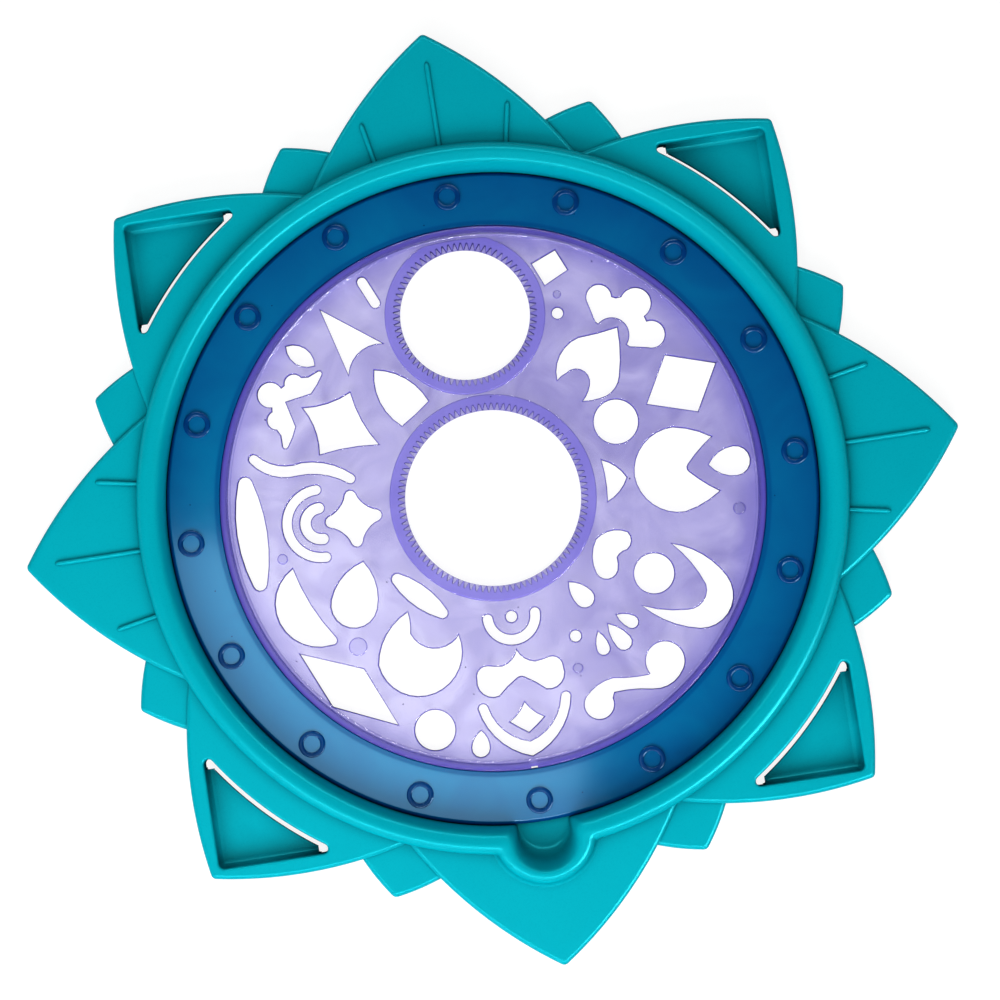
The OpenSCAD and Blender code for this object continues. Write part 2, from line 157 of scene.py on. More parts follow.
# Moulded ABS: even colour with a faint cloudiness from the flow, painted shade that darkens the hollows, creases and
# feet of walls where an occlusion test finds them, a soft shine on the level faces, and a fine spark-eroded grain in
# the gloss.
# The grain of such a mould is under 0.1 mm and is drawn at 0.5 mm so that it shows.
teal = bpy.data.materials.new("moulded ABS, teal")
teal.use_nodes = True
tree = teal.node_tree
place = add(tree, "ShaderNodeTexCoord").outputs["Object"]
in_mm = add(tree, "ShaderNodeMapping", {"Vector": place, "Scale": (1 / mm, 1 / mm, 1 / mm)}).outputs["Vector"]
flow = add(tree, "ShaderNodeTexNoise", {"Vector": in_mm, "Scale": 1 / 45, "Detail": 3})
grain = add(tree, "ShaderNodeTexNoise", {"Vector": in_mm, "Scale": 1 / 0.5, "Detail": 2})
shade = add(tree, "ShaderNodeMix", {"Factor": flow.outputs["Fac"], 6: linear("#0098AA"), 7: linear("#00A3B2")},
            data_type="RGBA")
# Painted shade: where ambient occlusion finds a hollow, the colour goes toward a dark #002F3C.
painted_hollow_shade = add(tree, "ShaderNodeAmbientOcclusion", {"Distance": 12 * mm}, samples=8)
painted_hollow_shade = add(tree, "ShaderNodeMapRange", {"Value": painted_hollow_shade.outputs["AO"], "From Min": 0.15, "From Max": 0.85})
shade = add(tree, "ShaderNodeMix", {"Factor": painted_hollow_shade.outputs[0], 6: linear("#002F3C"), 7: shade.outputs[2]},
            data_type="RGBA")
normal = add(tree, "ShaderNodeNewGeometry").outputs["Normal"]
normal_z = add(tree, "ShaderNodeSeparateXYZ", {0: normal}).outputs["Z"]
flatness = add(tree, "ShaderNodeMath", {0: normal_z}, operation="ABSOLUTE").outputs[0]
shine = add(tree, "ShaderNodeMapRange", {"Value": flatness, "From Min": 0.6, "From Max": 0.92, "To Max": 0.22})
gloss = add(tree, "ShaderNodeMapRange", {"Value": grain.outputs["Fac"], "To Min": 0.24, "To Max": 0.32})
bump = add(tree, "ShaderNodeBump", {"Height": grain.outputs["Fac"], "Strength": 0.05, "Distance": 0.05 * mm})
shader = tree.nodes["Principled BSDF"]
shader.inputs["IOR"].default_value = 1.5
shader.inputs["Specular Tint"].default_value = linear("#30E6F0")
tree.links.new(shade.outputs[2], shader.inputs["Base Color"])
tree.links.new(gloss.outputs[0], shader.inputs["Roughness"])
tree.links.new(shine.outputs[0], shader.inputs["Specular IOR Level"])
tree.links.new(bump.outputs["Normal"], shader.inputs["Normal"])

rim_profile = ((0.4, 2.4), (0.45, 5.5), (0.5, 7), (0.65, 8.3), (0.9, 9.4), (1.2, 10.4), (1.55, 11.2), (1.9, 11.75),
               (2.25, 12.12), (2.65, 12.4), (3.1, 12.58), (3.7, 12.72), (4.6, 12.88), (5.3, crest), (6, 12.9),
               (6.5, 12.7), (6.95, 12.42), (7.3, 12.05), (7.6, 11.5), (7.8, 10.8), (rim_width, 9.6),
               (rim_width, 8.6), (rim_width, 8.1), (rim_width, 7.8))
scoop_profile = ((-0.1, 2.25, -2.2), (0, 2.8, -1.2), (0.1, 3.6, -0.5), (0.2, 4.7, 0), (0.3, 6, 0.4), (0.45, 7.4, 0.7),
                 (0.65, 8.9, 1), (0.9, 10.2, 1.25), (1.25, 11.3, 1.4), (1.8, 12.1, 1.4), (2.4, 12.6, 1.2),
                 (3.1, 12.82, 0.9), (4, 12.9, 0.55), (4.9, 12.86, 0.25), (5.6, 12.72, 0.1), (6.1, 12.45, 0),
                 (6.5, 12, 0), (scoop_width, 11.4, 0), (7, 10.6, 0), (7.2, 9.8, 0), (7.45, 9.1, 0), (7.9, 8.6, 0),
                 (8.3, 8.35, 0), (scoop_width, 7.8, 0))
rows, bead_rows = [], 17
for k, ((out, z), (scoop_out, scoop_z, further)) in enumerate(zip(rim_profile, scoop_profile)):
    corner = 1 + 1.8 * math.sin(math.pi * min(1, k / bead_rows))
    rows.append(rim_row(out, z, scoop_out, scoop_z, corner, scoop_reach + further))
foot_row = rim_row(0.3, ledge_top + 0.1, -0.2, ledge_top + 0.08, 1, scoop_reach - 2.9)
floor_row = rim_row(0, ledge_top, -0.35, ledge_top, 1, scoop_reach - 3.6)
under = [(rim_width - 0.15, low, scoop_width - 0.15, low), (rim_width - wall, low, scoop_width - wall, low),
         (rim_width - wall, crest - 2 * wall, scoop_width - 2 * wall, low),
         (wall, crest - 2 * wall, wall + 0.4, low), (wall, low, wall, low)]
under = [rim_row(*row, 1) for row in under]
inner = [on_circle(floor_row, ledge_inner + r, z) for r, z in
         ((0.2, low), (0, low + 0.15), (0, ledge_top - 0.15), (0.15, ledge_top))]
rim = Moulding()
rim.wrap(inner + [floor_row, foot_row] + rows + under + inner[:1])
base_rim = rim.piece("base_rim", teal, crease_angle)
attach(base_rim, "base")
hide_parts("base_frame")

# Large petals: part of the same moulding, pointed leaves with rounded edges, open underneath.
# Four are plain leaves and four hold a corner of the square sheet in a sunk pocket.
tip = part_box("base_frame")[1][0] / mm
petal_top, petal_round, nose = 8.4, 1.5, 1.6
petal_root, room_root = rim_inner + rim_width - 0.9, rim_inner + rim_width + 0.3
parting = math.radians(34)
quarter = np.linspace(parting, math.pi / 2, 10)


def petal_loop(point, edge, offset, inset, root, z, scoop=0):
    """Closed outline of a pointed petal along +X, drawn in by inset, its root bent round a scoop if it has one."""
    middle = point - math.sqrt(edge ** 2 - offset ** 2)
    reach, radius = math.hypot(middle, offset), edge - inset
    last = math.acos((root ** 2 - reach ** 2 - radius ** 2) / (2 * radius * reach)) - math.atan2(offset, middle)
    bend = max(nose, inset + 0.05)
    first = math.asin(offset / (edge - bend))
    side = arc(middle, -offset, radius, last, first, 60)
    front = arc(middle + (edge - bend) * math.cos(first), 0, bend - inset, first, -first, 13)[1:-1]
    half = math.atan2(side[0][1], side[0][0])
    foot = arc(0, 0, root, -half, half, 26)[1:-1]
    if scoop:
        x = (root ** 2 + scoop_reach ** 2 - scoop ** 2) / (2 * scoop_reach)
        y = math.sqrt(root ** 2 - x ** 2)
        mouth, bulge = math.atan2(y, x), math.atan2(y, x - scoop_reach)
        foot = arc(0, 0, root, -half, -mouth, 9)[1:] + arc(scoop_reach, 0, scoop, -bulge, bulge, 41)[1:-1]
        foot += arc(0, 0, root, mouth, half, 9)[:-1]
    return at(side + front + [(x, -y) for x, y in reversed(side)] + foot, z)


def petal_rows(point, edge, offset, top, scoop=0):
    """Rows up the outside of a petal and over its rounded edge."""
    profile = [(0.35, low), (0.25, low + 0.15)]
    profile += [(petal_round * (math.cos(parting) - math.cos(a)), top - petal_round * (1 - math.sin(a)))
                for a in quarter]
    profile += [(petal_round * math.cos(parting) + 0.12, top)]
    return [petal_loop(point, edge, offset, inset, petal_root, z, scoop) for inset, z in profile]


def copies_tree():
    """Geometry nodes that set copies of a mesh round the middle."""
    tree = bpy.data.node_groups.new("copies round the middle", "GeometryNodeTree")
    tree.interface.new_socket("Geometry", in_out="INPUT", socket_type="NodeSocketGeometry")
    for name, kind in (("Count", "Int"), ("Step angle", "Float"), ("First angle", "Float"), ("Finish", "Material")):
        tree.interface.new_socket(name, in_out="INPUT", socket_type="NodeSocket" + kind)
    tree.interface.new_socket("Geometry", in_out="OUTPUT", socket_type="NodeSocketGeometry")
    given = add(tree, "NodeGroupInput").outputs
    points = add(tree, "GeometryNodePoints", {"Count": given["Count"]})
    turned = add(tree, "ShaderNodeMath", {0: add(tree, "GeometryNodeInputIndex").outputs[0], 1: given["Step angle"],
                                          2: given["First angle"]}, operation="MULTIPLY_ADD")
    angle = add(tree, "ShaderNodeCombineXYZ", {"Z": turned.outputs[0]})
    copies = add(tree, "GeometryNodeInstanceOnPoints", {"Points": points.outputs[0], "Instance": given["Geometry"],
                                                        "Rotation": angle.outputs[0]})
    real = add(tree, "GeometryNodeRealizeInstances", {"Geometry": copies.outputs[0]})
    done = add(tree, "GeometryNodeSetMaterial", {"Geometry": real.outputs[0], "Material": given["Finish"]})
    add(tree, "NodeGroupOutput", {"Geometry": done.outputs[0]})
    return tree


round_the_middle = copies_tree()


def copies(single, count, step, first, body, slot):
    """The piece that a single one makes when it is repeated round the middle, angles in degrees."""
    sockets = {s.name: s.identifier for s in round_the_middle.interface.items_tree if s.in_out == "INPUT"}
    maker = single.modifiers.new("copies", "NODES")
    maker.node_group = round_the_middle
    maker[sockets["Count"]] = count
    maker[sockets["Step angle"]] = math.radians(step)
    maker[sockets["First angle"]] = math.radians(first)
    maker[sockets["Finish"]] = single.data.materials[0]
    mesh = bpy.data.meshes.new_from_object(single.evaluated_get(bpy.context.evaluated_depsgraph_get()))
    single.modifiers.remove(maker)
    single.data = mesh
    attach(single, body)
    return single


large = (tip, 123, 68.7)
ceiling = petal_top - wall


def petal_room(scoop=0):
    """Rows down the inside of the room under a large petal."""
    return [petal_loop(*large, wall + draft, room_root, z, scoop) for draft, z in ((0.1, ceiling), (0, low))]


def leaf(scoop=0):
    """A leaf petal, its root bent round the scoop's bead if it has one."""
    room = petal_room(scoop and scoop + 1.2)
    rows = petal_rows(*large, petal_top, scoop)
    shape = Moulding()
    shape.wrap(room + rows)
    shape.flat(room[0])
    shape.flat(rows[-1])
    return shape


copies(leaf().piece("leaf_petals", teal, crease_angle), 3, 90, 0, "base", "teal_moulding")
scoop_leaf = leaf(scoop_radius + scoop_width - 0.9)
copies(scoop_leaf.piece("scoop_petal", teal, crease_angle), 1, 0, -90, "base", "teal_moulding")

pocket_corner, pocket_inner, pocket_round, pocket_end = 89.4, 105.6, 1.6, 1.3
pocket_bottom, slit_width, slit_bulb = 2.4, 1.6, 1.3
pocket_edge = 0.75


def along_x(points):
    """Points of the corner toward +X and +Y turned to lie along +X."""
    return [((x + y) * math.sqrt(0.5), (y - x) * math.sqrt(0.5)) for x, y in points]


def pocket_loop(out, z):
    """Closed outline of a sheet pocket, out from its walls."""
    side, inner, bend, end = pocket_corner + out, pocket_inner - out, pocket_round + out, pocket_end + out
    ex = side - end
    ey = math.sqrt((inner + end) ** 2 - ex ** 2)
    lean = math.atan2(ey, ex)
    points = arc(ex, ey, end, lean + math.pi, 2 * math.pi, 9)
    points += arc(side - bend, side - bend, bend, 0, math.pi / 2, 9)
    points += arc(ey, ex, end, math.pi / 2, 3 * math.pi / 2 - lean, 9)
    points += arc(0, 0, inner, math.pi / 2 - lean, lean, 43)[1:-1]
    return at(along_x(points), z)


room = petal_room()
rows = petal_rows(*large, petal_top)
lip = [pocket_loop(0.9, petal_top)]
lip += [pocket_loop(pocket_edge * (1 - math.sin(a)), petal_top - pocket_edge * (1 - math.cos(a)))
        for a in np.linspace(0, math.pi / 2, 10)]
tub = [pocket_loop(-0.05, low), pocket_loop(1, low), pocket_loop(1, ceiling)]
pocket = Moulding()
pocket.wrap(room + rows)
pocket.flat(room[0], tub[-1])
pocket.flat(rows[-1], lip[0])
pocket.wrap(lip + tub)
slit_outer = pocket_inner + slit_width
bulb_x = pocket_corner - 1.2 * slit_bulb
bulb_y = math.sqrt(slit_outer ** 2 - bulb_x ** 2)
bulb = math.atan2(bulb_y, bulb_x)
entry = slit_bulb / slit_outer
floor_side, floor_round = pocket_corner + 0.3, pocket_round - 0.3


def floor_loop(inset, z):
    """Closed outline of a pocket's floor, with the bulbs at the ends of the slit."""
    ends = arc(bulb_x, bulb_y, slit_bulb + inset, 0, bulb + math.pi / 2, 9)
    corner = arc(floor_side - floor_round, floor_side - floor_round, floor_round, 0, math.pi / 2, 9)
    points = [(floor_side, bulb_y)] + corner + [(bulb_y, floor_side)]
    points += [(y, x) for x, y in ends]
    points += arc(0, 0, slit_outer + inset, math.pi / 2 - bulb - entry, bulb + entry, 41)[1:-1]
    return at(along_x(points + ends[::-1]), z)


slab = [floor_loop(0.35, pocket_bottom), floor_loop(0.2, pocket_bottom), floor_loop(0.05, pocket_bottom - 0.08),
        floor_loop(0, pocket_bottom - 0.25), floor_loop(0, low)]
pocket.wrap(slab)
pocket.flat(slab[0])
pocket.flat(slab[-1])


def cove_path(out, z):
    """Line along a pocket's two outer walls, out from them."""
    side, bend = pocket_corner + out, max(pocket_round + out, 0.08)
    end = bulb_y + 0.6
    corner = arc(side - bend, side - bend, bend, 0, math.pi / 2, 13)
    return at(along_x([(side, end)] + corner + [(end, side)]), z)


cove = [cove_path(*p) for p in ((0.2, 5.2), (-0.06, 4.9), (-0.22, 4), (-0.55, 3.25), (-1.05, 2.7), (-1.7, 2.45),
                                (-2.3, 2.38), (-1, 2.2), (0.2, 2.2))]
pocket.wrap([list(row) for row in zip(*cove)])
pocket.flat([row[0] for row in cove])
pocket.flat([row[-1] for row in cove])
copies(pocket.piece("pocket_petals", teal, crease_angle), 4, 90, 45, "base", "teal_moulding")

# Small petals: part of the same moulding, one between each pair of large petals and a step lower.
# They are solid underneath.
small_tip, small_edge, small_offset, small_top = 113, 65, 32.9, petal_top - 1.4
small = Moulding()
rows = petal_rows(small_tip, small_edge, small_offset, small_top)
small.wrap(rows)
small.flat(rows[0])
small.flat(rows[-1])
copies(small.piece("small_petals", teal, crease_angle), 8, 45, 22.5, "base", "teal_moulding")

# Raised ribs: the three veins on each of three leaf petals, moulded with them.
# Each is a low rounded ridge from the rim's foot to a rounded end.
rib_width, rib_height, rib_crease_angle = 1.45, 1, 50
rib_foot = petal_top - 0.4


def ridge(end):
    """One rib along +X, out to end."""
    start = rim_inner + rim_width - 0.6
    rounding = end - rib_width * np.cos(np.linspace(0.2, 1.57, 8))
    rows = []
    for x in np.concatenate([np.linspace(start, end - rib_width, 24), rounding]):
        k = math.sqrt(max(0.02, 1 - max(0, (x - end + rib_width) / rib_width) ** 2))
        half, height = rib_width / 2 * k, rib_height * k
        row = [(x, half * math.copysign(abs(math.cos(a)) ** 0.9, math.cos(a)), petal_top + height * math.sin(a))
               for a in np.linspace(0, math.pi, 13)]
        rows.append(row + [(x, -half, rib_foot), (x, half, rib_foot)])
    rib = Moulding()
    rib.wrap(rows)
    rib.flat(rows[0])
    rib.flat(rows[-1])
    return rib


for name, end, lean in (("long_ribs", tip - 8.1, 0), ("right_ribs", tip - 20.3, -10.8),
                        ("left_ribs", tip - 20.3, 10.8)):
    copies(ridge(end).piece(name, teal, rib_crease_angle), 3, 90, lean, "base", "teal_moulding")

# Stiffening ribs: thin upright webs that stand under the large petals, moulded with them.
# Each leaf petal also has a round boss that carries its foot.
web_half, web_top = 0.6, ceiling + 0.5


def circle(x, y, radius, count):
    """Points of a full circle in the plane."""
    return arc(x, y, radius, 0, 2 * math.pi * (count - 1) / count, count)


web = Moulding()
for lean, start, reach in ((-11.25, 96.5, tip - 20), (0, 109.5, tip - 4), (11.25, 96.5, tip - 20)):
    c, s = math.cos(math.radians(lean)), math.sin(math.radians(lean))
    plan = [(x * c - y * s, x * s + y * c) for x, y in
            ((start, -web_half), (reach, -web_half), (reach, web_half), (start, web_half))]
    web.wrap([at(plan, low), at(plan, web_top)])
    web.flat(at(plan, low))
    web.flat(at(plan, web_top))
boss_rows = [at(circle(tip - 14, 0, r, 48), z) for r, z in ((5.8, low), (6, low + 0.2), (6, web_top))]
web.wrap(boss_rows)
web.flat(boss_rows[0])
web.flat(boss_rows[-1])
copies(web.piece("foot_webs", teal), 4, 90, 0, "base", "teal_moulding")

# Feet: round non-slip pads of black rubber, stuck under the large petals.
# Rubber is matt, with a fine dusty mottle.
rubber = bpy.data.materials.new("moulded rubber, black")
rubber.use_nodes = True
tree = rubber.node_tree
place = add(tree, "ShaderNodeTexCoord").outputs["Object"]
in_mm = add(tree, "ShaderNodeMapping", {"Vector": place, "Scale": (1 / mm, 1 / mm, 1 / mm)}).outputs["Vector"]
dust = add(tree, "ShaderNodeTexNoise", {"Vector": in_mm, "Scale": 1 / 0.6, "Detail": 4})
shade = add(tree, "ShaderNodeMix", {"Factor": dust.outputs["Fac"], 6: linear("#1B1B1D"), 7: linear("#2C2C2E")},
            data_type="RGBA")
bump = add(tree, "ShaderNodeBump", {"Height": dust.outputs["Fac"], "Strength": 0.3, "Distance": 0.05 * mm})
shader = tree.nodes["Principled BSDF"]
shader.inputs["Roughness"].default_value = 0.85
tree.links.new(shade.outputs[2], shader.inputs["Base Color"])
tree.links.new(bump.outputs["Normal"], shader.inputs["Normal"])
foot_low, foot_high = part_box("foot_1")
foot_x, foot_r = (foot_low[0] + foot_high[0]) / 2 / mm, (foot_high[0] - foot_low[0]) / 2 / mm
foot = Moulding()
rows = [at(circle(foot_x, 0, foot_r - inset, 60), z) for inset, z in
        ((1.2, 0.12), (1, 0), (0.25, 0), (0.05, 0.1), (0, 0.3), (0, low))]
foot.wrap(rows)
foot.flat(rows[0])
foot.flat(rows[-1])
feet = copies(foot.piece("feet", rubber), 8, 45, 0, "base", "foot_rubber")
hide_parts(*[f"foot_{i}" for i in range(1, 9)])

# Index ring: moulded in see-through blue polystyrene, glossy, loose on the ledge.
# It has a bevelled outer edge, and inside a lower flange with a registration notch that carries the stencil plate.


def polystyrene(name, shades, deep, edge, tints, cover, painted_shade_fade, flow_size, sheen):
    """See-through polystyrene, cloudy from the flow, denser and deeper in colour where it looks thick, with painted
    shade toward its outer edge and painted light that drifts across it.
    """
    made = bpy.data.materials.new(name)
    made.use_nodes = True
    tree = made.node_tree
    place = add(tree, "ShaderNodeTexCoord").outputs["Object"]
    in_mm = add(tree, "ShaderNodeMapping", {"Vector": place, "Scale": (1 / mm, 1 / mm, 1 / mm)}).outputs["Vector"]
    level = add(tree, "ShaderNodeMapping", {"Vector": place, "Scale": (1 / mm, 1 / mm, 0)}).outputs["Vector"]
    flow = add(tree, "ShaderNodeTexNoise", {"Vector": in_mm, "Scale": 1 / flow_size, "Detail": 4, "Distortion": 1.2})
    # Painted light: the colour and the see-through tint drift lighter toward -X and -Y and darker toward +X and +Y,
    # for light that falls unevenly.
    painted_light_drift = add(tree, "ShaderNodeVectorMath", {0: level, 1: (-0.0025, -0.001, 0)}, operation="DOT_PRODUCT")
    flow = add(tree, "ShaderNodeMath", {0: flow.outputs["Fac"], 1: painted_light_drift.outputs["Value"]}, operation="ADD").outputs[0]
    flow = add(tree, "ShaderNodeMapRange", {"Value": flow, "From Min": 0.25, "From Max": 0.75}).outputs[0]
    wear = add(tree, "ShaderNodeTexNoise", {"Vector": in_mm, "Scale": 1 / 1.5, "Detail": 4})
    speck = add(tree, "ShaderNodeTexVoronoi", {"Vector": in_mm, "Scale": 1 / 24}, voronoi_dimensions="2D")
    speck = add(tree, "ShaderNodeMapRange", {"Value": speck.outputs["Distance"], "From Min": 0.006, "From Max": 0.01,
                                             "To Min": 1, "To Max": 0}).outputs[0]
    # Painted shade: the plastic is made to look thicker, and so darker, toward its outer edge, for the shade that the
    # rim casts on the ring and the lip on the plate.
    reach = add(tree, "ShaderNodeVectorMath", {0: level}, operation="LENGTH").outputs["Value"]
    outer = add(tree, "ShaderNodeMapRange", {"Value": reach, "From Min": painted_shade_fade[0], "From Max": painted_shade_fade[1],
                                             "To Max": painted_shade_fade[2]}).outputs[0]
    thick = add(tree, "ShaderNodeAttribute", attribute_name="thick").outputs["Fac"]
    thick = add(tree, "ShaderNodeMath", {0: thick, 1: outer}, operation="ADD").outputs[0]
    body = add(tree, "ShaderNodeMapRange", {"Value": thick, "From Max": 0.5}).outputs[0]
    wall = add(tree, "ShaderNodeMapRange", {"Value": thick, "From Min": 0.5}).outputs[0]
    dark = add(tree, "ShaderNodeMath", {0: wall, 1: speck}, operation="MAXIMUM").outputs[0]
    shade = add(tree, "ShaderNodeMix", {"Factor": flow, 6: linear(shades[0]), 7: linear(shades[1])}, data_type="RGBA")
    shade = add(tree, "ShaderNodeMix", {"Factor": body, 6: shade.outputs[2], 7: linear(deep)}, data_type="RGBA")
    shade = add(tree, "ShaderNodeMix", {"Factor": dark, 6: shade.outputs[2], 7: linear(edge)}, data_type="RGBA")
    stain = add(tree, "ShaderNodeMix", {"Factor": flow, 6: linear(tints[0]), 7: linear(tints[1])}, data_type="RGBA")
    stain = add(tree, "ShaderNodeMix", {"Factor": body, 6: stain.outputs[2], 7: linear(tints[2])}, data_type="RGBA")
    frost = add(tree, "ShaderNodeMapRange", {"Value": thick, "From Min": 0, "From Max": -0.4}).outputs[0]
    shade = add(tree, "ShaderNodeMix", {"Factor": frost, 6: shade.outputs[2], 7: linear("#DAD8F6")}, data_type="RGBA")
    stain = add(tree, "ShaderNodeMix", {"Factor": frost, 6: stain.outputs[2], 7: linear("#FFFFFF")}, data_type="RGBA")
    dense = add(tree, "ShaderNodeMapRange", {"Value": thick, "To Min": cover[0], "To Max": cover[1]}).outputs[0]
    dense = add(tree, "ShaderNodeMath", {0: frost, 1: 0.45, 2: dense}, operation="MULTIPLY_ADD").outputs[0]
    dense = add(tree, "ShaderNodeMath", {0: dense, 1: speck}, operation="MAXIMUM").outputs[0]
    gloss = add(tree, "ShaderNodeMapRange", {"Value": wear.outputs["Fac"], "To Min": 0.05, "To Max": 0.1}).outputs[0]
    shader = tree.nodes["Principled BSDF"]
    shader.inputs["Specular IOR Level"].default_value = 0
    tree.links.new(shade.outputs[2], shader.inputs["Base Color"])
    clear = add(tree, "ShaderNodeBsdfTransparent", {"Color": stain.outputs[2]})
    mixed = add(tree, "ShaderNodeMixShader", {0: dense, 1: clear.outputs[0], 2: shader.outputs[0]})
    mirror = add(tree, "ShaderNodeBsdfGlossy", {"Color": linear(sheen), "Roughness": gloss})
    surface = add(tree, "ShaderNodeNewGeometry").outputs
    normal_z = add(tree, "ShaderNodeSeparateXYZ", {0: surface["Normal"]}).outputs["Z"]
    flatness = add(tree, "ShaderNodeMath", {0: normal_z}, operation="ABSOLUTE").outputs[0]
    flatness = add(tree, "ShaderNodeMapRange", {"Value": flatness, "From Min": 0.5, "From Max": 0.98}).outputs[0]
    shine = add(tree, "ShaderNodeFresnel", {"IOR": 1.59}).outputs[0]
    shine = add(tree, "ShaderNodeMath", {0: shine, 1: flatness}, operation="MULTIPLY").outputs[0]
    outside = add(tree, "ShaderNodeMath", {0: 1, 1: surface["Backfacing"]}, operation="SUBTRACT").outputs[0]
    shine = add(tree, "ShaderNodeMath", {0: shine, 1: outside}, operation="MULTIPLY").outputs[0]
    dull = add(tree, "ShaderNodeMapRange", {"Value": body, "To Min": 1, "To Max": 0.2}).outputs[0]
    shine = add(tree, "ShaderNodeMath", {0: shine, 1: dull}, operation="MULTIPLY").outputs[0]
    mixed = add(tree, "ShaderNodeMixShader", {0: shine, 1: mixed.outputs[0], 2: mirror.outputs[0]})
    tree.links.new(mixed.outputs[0], tree.nodes["Material Output"].inputs["Surface"])
    return made


# Painted shade: the ring darkens from 79 to 89 mm out, for the shade that the rim casts on it.
blue = polystyrene("moulded polystyrene, blue", ("#005E9A", "#0074AA"), "#003F80", "#00245A",
                   ("#2A8CC8", "#2A94C8", "#0A4A8C"), (0.82, 0.98), (79, 89, 0.2), 30, "#A0DAFF")
ring_low, ring_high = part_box("index_ring")
ring_outer = ring_high[0] / mm
ring_inner, ring_edge = ring_outer - 13.8, ring_outer + 0.75
flange_low, ring_top = ring_low[2] / mm, 4
ring_low = ledge_top + 0.1
notch_half = math.radians(0.69)
down = math.radians(-90)
angles = list(np.linspace(down + 0.03, down + 2 * math.pi - 0.03, 356))
angles = sorted(angles + [down + notch_half * k for k in (-1.05, -1, 1, 1.05)])


def hoop(radius, z, notch=None):
    """Closed circle about the middle, bitten to another radius at the registration notch."""
    turned = [notch if notch and abs(a - down) <= notch_half * 1.01 else radius for a in angles]
    return [(r * math.cos(a), r * math.sin(a), z) for r, a in zip(turned, angles)]


flange_inner, flange_top, spigot = ring_inner - 2.1, flange_low + 1, ring_inner + 1.1
# Radius, height, radius at the notch and how thick the plastic looks, once round the section.
ring_section = ((flange_inner + 0.1, flange_low, ring_inner - 0.1, 0.4),
                (flange_inner, flange_low + 0.1, ring_inner - 0.2, 0.4),
                (flange_inner, flange_top - 0.2, ring_inner - 0.2, 0.4),
                (flange_inner + 0.2, flange_top, ring_inner - 0.1, 0.4),
                (ring_inner - 0.05, flange_top, None, 0.4), (ring_inner, flange_top + 0.05, None, 0.5),
                (ring_inner, ring_top - 0.15, None, 0.5), (ring_inner + 0.04, ring_top - 0.04, None, 0.4),
                (ring_inner + 0.15, ring_top, None, 0.3), (ring_inner + 0.2, ring_top, None, 0.3),
                (spigot, ring_top, None, 0.3), (ledge_inner + 0.3, ring_top, None, 0),
                (ring_edge - 1.1, ring_top, None, 0), (ring_edge - 1, ring_top, None, 0),
                (ring_edge - 0.8, ring_top - 0.05, None, 0.15), (ring_edge - 0.15, ring_top - 0.5, None, 0.45),
                (ring_edge, ring_top - 0.75, None, 0.7), (ring_edge, ring_low + 0.2, None, 0.8),
                (ring_edge - 0.2, ring_low, None, 0.4), (spigot, ring_low, None, 0),
                (spigot, flange_low + 0.15, None, 0.3), (spigot - 0.15, flange_low, None, 0.3),
                (flange_inner + 0.1, flange_low, ring_inner - 0.1, 0.4))
ring = Moulding()
ring.wrap([hoop(*spot[:3]) for spot in ring_section], [spot[3] for spot in ring_section])
index_ring = ring.piece("index_ring_moulding", blue)
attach(index_ring, "ring")
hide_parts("index_ring")

# Bosses: sixteen low hollow collars, moulded with the ring in the same blue polystyrene.
# There is one for each petal tip that the ring is lined up with.
boss_radius, boss_outer, boss_inner, boss_height, boss_thick = ring_outer - 5.1, 3.7, 2.3, 0.8, 0.62
boss_section = ((boss_outer, 0.02), (boss_outer, boss_height - 0.3), (boss_outer - 0.1, boss_height - 0.1),
                (boss_outer - 0.3, boss_height), (boss_inner + 0.3, boss_height),
                (boss_inner + 0.1, boss_height - 0.1), (boss_inner, boss_height - 0.3), (boss_inner, 0.02),
                (boss_outer, 0.02))
boss = Moulding()
boss.wrap([at(circle(boss_radius, 0, r, 48), ring_top + z) for r, z in boss_section], boss_thick)
copies(boss.piece("ring_bosses", blue), 16, 22.5, 0, "ring", "blue_moulding")

# Stencil plate: moulded in see-through purple polystyrene, glossy, hung in the ring by its raised lip.
# Two geared holes stand in raised collars, and drawing cut-outs with softened edges fill the rest.
# Painted shade: the plate darkens from 67 to 72.4 mm out, for the shade of its lip.
purple = polystyrene("moulded polystyrene, purple", ("#7A72C4", "#9A93DC"), "#7268D6", "#17105C",
                     ("#CFCBEC", "#F0EEFF", "#BAB3F3"), (0.13, 1), (67, 72.4, 0.12), 18, "#B4B4B4")
plate_low, lip_top = (corner[2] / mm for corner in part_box("stencil_plate"))
lip_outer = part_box("stencil_plate")[1][0] / mm
plate_top, collar_top, lip_low = plate_low + 1.8, plate_low + 3.1, plate_low + 1.4
lip_inner, plate_outer = lip_outer - 2.5, lip_outer - 2.1


def level_loops(node, height):
    """Outlines of a node's level face at a height, in mm, each anticlockwise."""
    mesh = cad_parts[node].data
    spots = [(round(v.co.x / mm, 3), round(v.co.y / mm, 3)) if abs(v.co.z / mm - height) < 0.005 else None
             for v in mesh.vertices]
    edges = set()
    for face in mesh.polygons:
        corners = [spots[i] for i in face.vertices]
        if None not in corners:
            edges.update(zip(corners, corners[1:] + corners[:1]))
    after = {a: b for a, b in edges if (b, a) not in edges}
    loops = []
    while after:
        first, spot = after.popitem()
        loop = [first]
        while spot != first:
            loop.append(spot)
            spot = after.pop(spot)
        area = sum(a[0] * b[1] - b[0] * a[1] for a, b in zip(loop, loop[1:] + loop[:1]))
        loop = loop if area > 0 else loop[::-1]
        loops.append([p for p, q in zip(loop, loop[1:] + loop[:1]) if math.dist(p, q) > 0.03])
    return loops


def grown(loop, by, z):
    """A hole's outline moved out into the plate."""
    p = np.array(loop)
    ahead = np.roll(p, -1, axis=0) - p
    ahead /= np.linalg.norm(ahead, axis=1)[:, None]
    out = np.column_stack([ahead[:, 1], -ahead[:, 0]])
    both = out + np.roll(out, 1, axis=0)
    both /= np.maximum(np.linalg.norm(both, axis=1), 0.3)[:, None]
    reach = np.maximum((both * out).sum(axis=1), 0.5)
    return at((p + both * (by / reach)[:, None]).tolist(), z)


